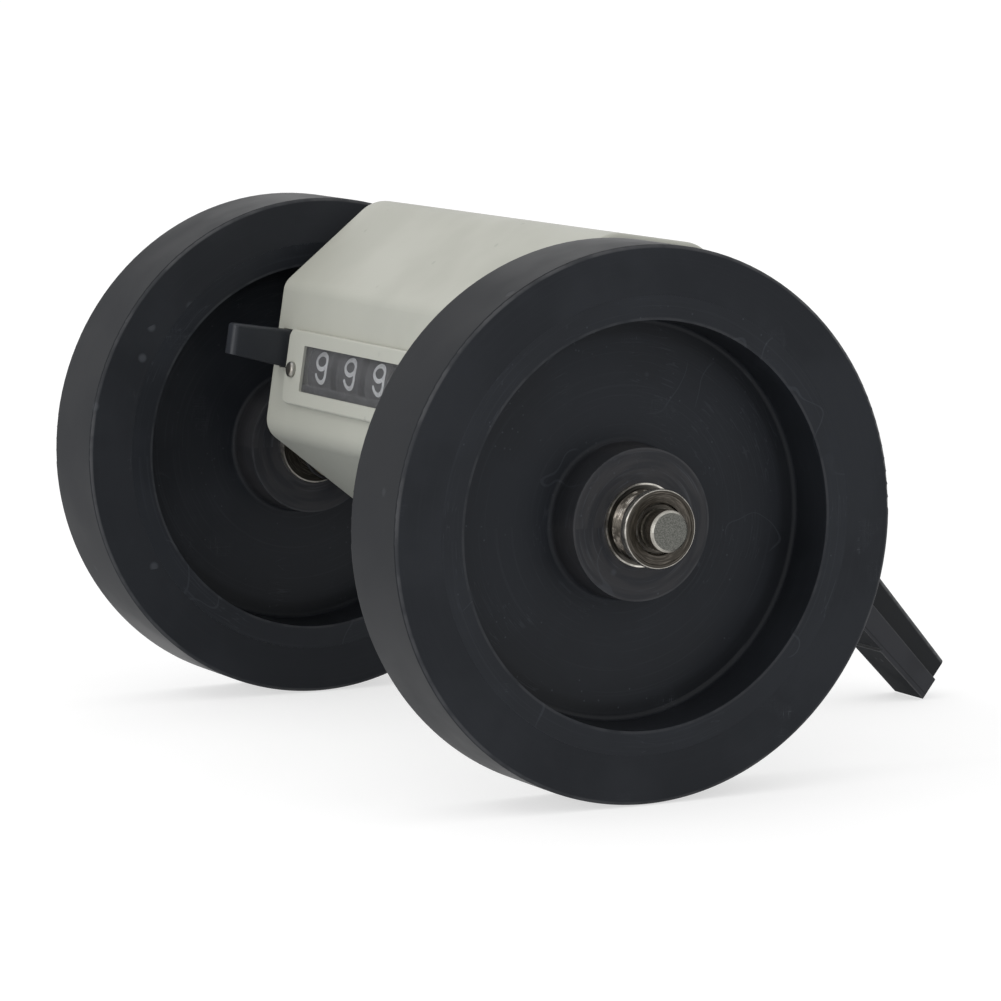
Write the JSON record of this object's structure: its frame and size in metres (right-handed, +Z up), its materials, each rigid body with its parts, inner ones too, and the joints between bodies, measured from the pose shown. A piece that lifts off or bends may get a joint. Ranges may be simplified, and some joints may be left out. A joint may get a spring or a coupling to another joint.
{
  "type": "cable length counter",
  "caption": "Tabletop cable length counter: two rubber-tyred measuring rollers on one shaft drive a windowed mechanical counter in a leaning grey housing propped by a rear arm",
  "frame": {"origin": "centre of the bounding box's base, on the table that the rollers and the arm's tip stand on", "axes": "+X along the roller shaft, to the right of a reader who faces the window; +Y to the back, where the arm is; +Z up"},
  "size_m": [0.1804, 0.1685, 0.1061],
  "materials": {
    "housing_paint": "light grey-green enamel over die-cast aluminium, satin, fine texture",
    "plate_enamel": "the same grey enamel on a pressed plate, slightly smoother",
    "lens": "clear polished acrylic",
    "bright_steel": "nickel-plated steel, turned",
    "ground_steel": "ground carbon steel",
    "plated_steel": "zinc-plated steel sheet, bar and wire",
    "bronze": "sintered bronze",
    "thrust_plastic": "black acetal",
    "roller_plastic": "black glass-filled plastic, satin",
    "tyre_rubber": "black solid rubber, ground tread",
    "black_casting": "black enamel on casting, semi-gloss",
    "wheel_plastic": "black moulded number wheels with light figures",
    "pinion_plastic": "natural acetal",
    "gear_brass": "milled brass"
  },
  "bodies": {
    "housing": {"casing": "housing_paint", "back_cover": "housing_paint", "cover_screws": "bright_steel", "frame_screws": "bright_steel", "window_bezel": "plate_enamel", "window_lens": "lens", "bezel_screws": "bright_steel", "bush_left": "bronze", "bush_right": "bronze", "frame_plate_left": "plated_steel", "frame_plate_right": "plated_steel", "tie_rods": "plated_steel", "frame_bar": "plated_steel", "idler_stub": "ground_steel", "idler_clip": "plated_steel", "pinion_axle": "ground_steel", "axle_spacer": "plated_steel", "pivot_bolt": "bright_steel", "pivot_nut": "bright_steel", "pivot_washers": "bright_steel", "reset_spring": "plated_steel"},
    "rollers": {"main_shaft": "ground_steel", "roller_core_left": "roller_plastic", "roller_core_right": "roller_plastic", "tyre_left": "tyre_rubber", "tyre_right": "tyre_rubber", "hub_sleeve_left": "ground_steel", "hub_sleeve_right": "ground_steel", "hub_washer_left": "bright_steel", "hub_washer_right": "bright_steel", "clamp_nut_left": "bright_steel", "clamp_nut_right": "bright_steel", "thrust_washer_left": "thrust_plastic", "spacer_tube_right": "thrust_plastic", "sleeve_pins": "ground_steel"},
    "idler": {"idler_gear": "gear_brass"},
    "wheel_1": {"number_wheel_1": "wheel_plastic", "tenths_gear": "gear_brass"},
    "wheel_2": {"number_wheel_2": "wheel_plastic"},
    "wheel_3": {"number_wheel_3": "wheel_plastic"},
    "wheel_4": {"number_wheel_4": "wheel_plastic"},
    "wheel_5": {"number_wheel_5": "wheel_plastic"},
    "pinion_1": {"transfer_pinion_1": "pinion_plastic"},
    "pinion_2": {"transfer_pinion_2": "pinion_plastic"},
    "pinion_3": {"transfer_pinion_3": "pinion_plastic"},
    "pinion_4": {"transfer_pinion_4": "pinion_plastic"},
    "reset_shaft": {"reset_axle": "ground_steel", "axle_clip": "plated_steel"},
    "key": {"reset_key": "black_casting"},
    "arm": {"support_arm": "black_casting"}
  },
  "joints": [
    {"name": "roller_spin", "type": "hinge", "parent": "housing", "child": "rollers", "pos_m": [0, -0.03107, 0.05305], "axis": [1, 0, 0], "continuous": true},
    {"name": "idler_spin", "type": "hinge", "parent": "housing", "child": "idler", "pos_m": [0, -0.0187, 0.0596], "axis": [1, 0, 0], "continuous": true},
    {"name": "wheel_1_spin", "type": "hinge", "parent": "housing", "child": "wheel_1", "pos_m": [0, -0.03256, 0.07108], "axis": [1, 0, 0], "continuous": true},
    {"name": "wheel_2_spin", "type": "hinge", "parent": "housing", "child": "wheel_2", "pos_m": [0, -0.03256, 0.07108], "axis": [1, 0, 0], "continuous": true},
    {"name": "wheel_3_spin", "type": "hinge", "parent": "housing", "child": "wheel_3", "pos_m": [0, -0.03256, 0.07108], "axis": [1, 0, 0], "continuous": true},
    {"name": "wheel_4_spin", "type": "hinge", "parent": "housing", "child": "wheel_4", "pos_m": [0, -0.03256, 0.07108], "axis": [1, 0, 0], "continuous": true},
    {"name": "wheel_5_spin", "type": "hinge", "parent": "housing", "child": "wheel_5", "pos_m": [0, -0.03256, 0.07108], "axis": [1, 0, 0], "continuous": true},
    {"name": "pinion_1_spin", "type": "hinge", "parent": "housing", "child": "pinion_1", "pos_m": [0, -0.019, 0.06467], "axis": [1, 0, 0], "continuous": true},
    {"name": "pinion_2_spin", "type": "hinge", "parent": "housing", "child": "pinion_2", "pos_m": [0, -0.019, 0.06467], "axis": [1, 0, 0], "continuous": true},
    {"name": "pinion_3_spin", "type": "hinge", "parent": "housing", "child": "pinion_3", "pos_m": [0, -0.019, 0.06467], "axis": [1, 0, 0], "continuous": true},
    {"name": "pinion_4_spin", "type": "hinge", "parent": "housing", "child": "pinion_4", "pos_m": [0, -0.019, 0.06467], "axis": [1, 0, 0], "continuous": true},
    {"name": "reset_push", "type": "slide", "parent": "housing", "child": "key", "axis": [0, 0.9885, -0.1513], "range_m": [0, 0.0096], "stiffness_N_per_m": 120, "springref_m": -0.006, "deforming": ["reset_spring"]},
    {"name": "reset_turn", "type": "hinge", "parent": "housing", "child": "reset_shaft", "pos_m": [0, -0.03256, 0.07108], "axis": [1, 0, 0], "range_deg": [-361, 1]},
    {"name": "arm_pivot", "type": "hinge", "parent": "housing", "child": "arm", "pos_m": [0, 0.02251, 0.06737], "axis": [1, 0, 0], "range_deg": [-30, 80]}
  ],
  "couplings": [
    {"joint": "idler_spin", "follows": "roller_spin", "ratio": -0.33333},
    {"joint": "wheel_1_spin", "follows": "roller_spin", "ratio": 0.33333},
    {"joint": "wheel_2_spin", "follows": "roller_spin", "ratio": 0.033333},
    {"joint": "wheel_3_spin", "follows": "roller_spin", "ratio": 0.0033333},
    {"joint": "wheel_4_spin", "follows": "roller_spin", "ratio": 0.00033333},
    {"joint": "wheel_5_spin", "follows": "roller_spin", "ratio": 0.000033333},
    {"joint": "pinion_1_spin", "follows": "roller_spin", "ratio": -0.066667},
    {"joint": "pinion_2_spin", "follows": "roller_spin", "ratio": -0.0066667},
    {"joint": "pinion_3_spin", "follows": "roller_spin", "ratio": -0.00066667},
    {"joint": "pinion_4_spin", "follows": "roller_spin", "ratio": -0.000066667},
    {"joint": "reset_turn", "follows": "reset_push", "rad_per_m": -654.5}
  ]
}
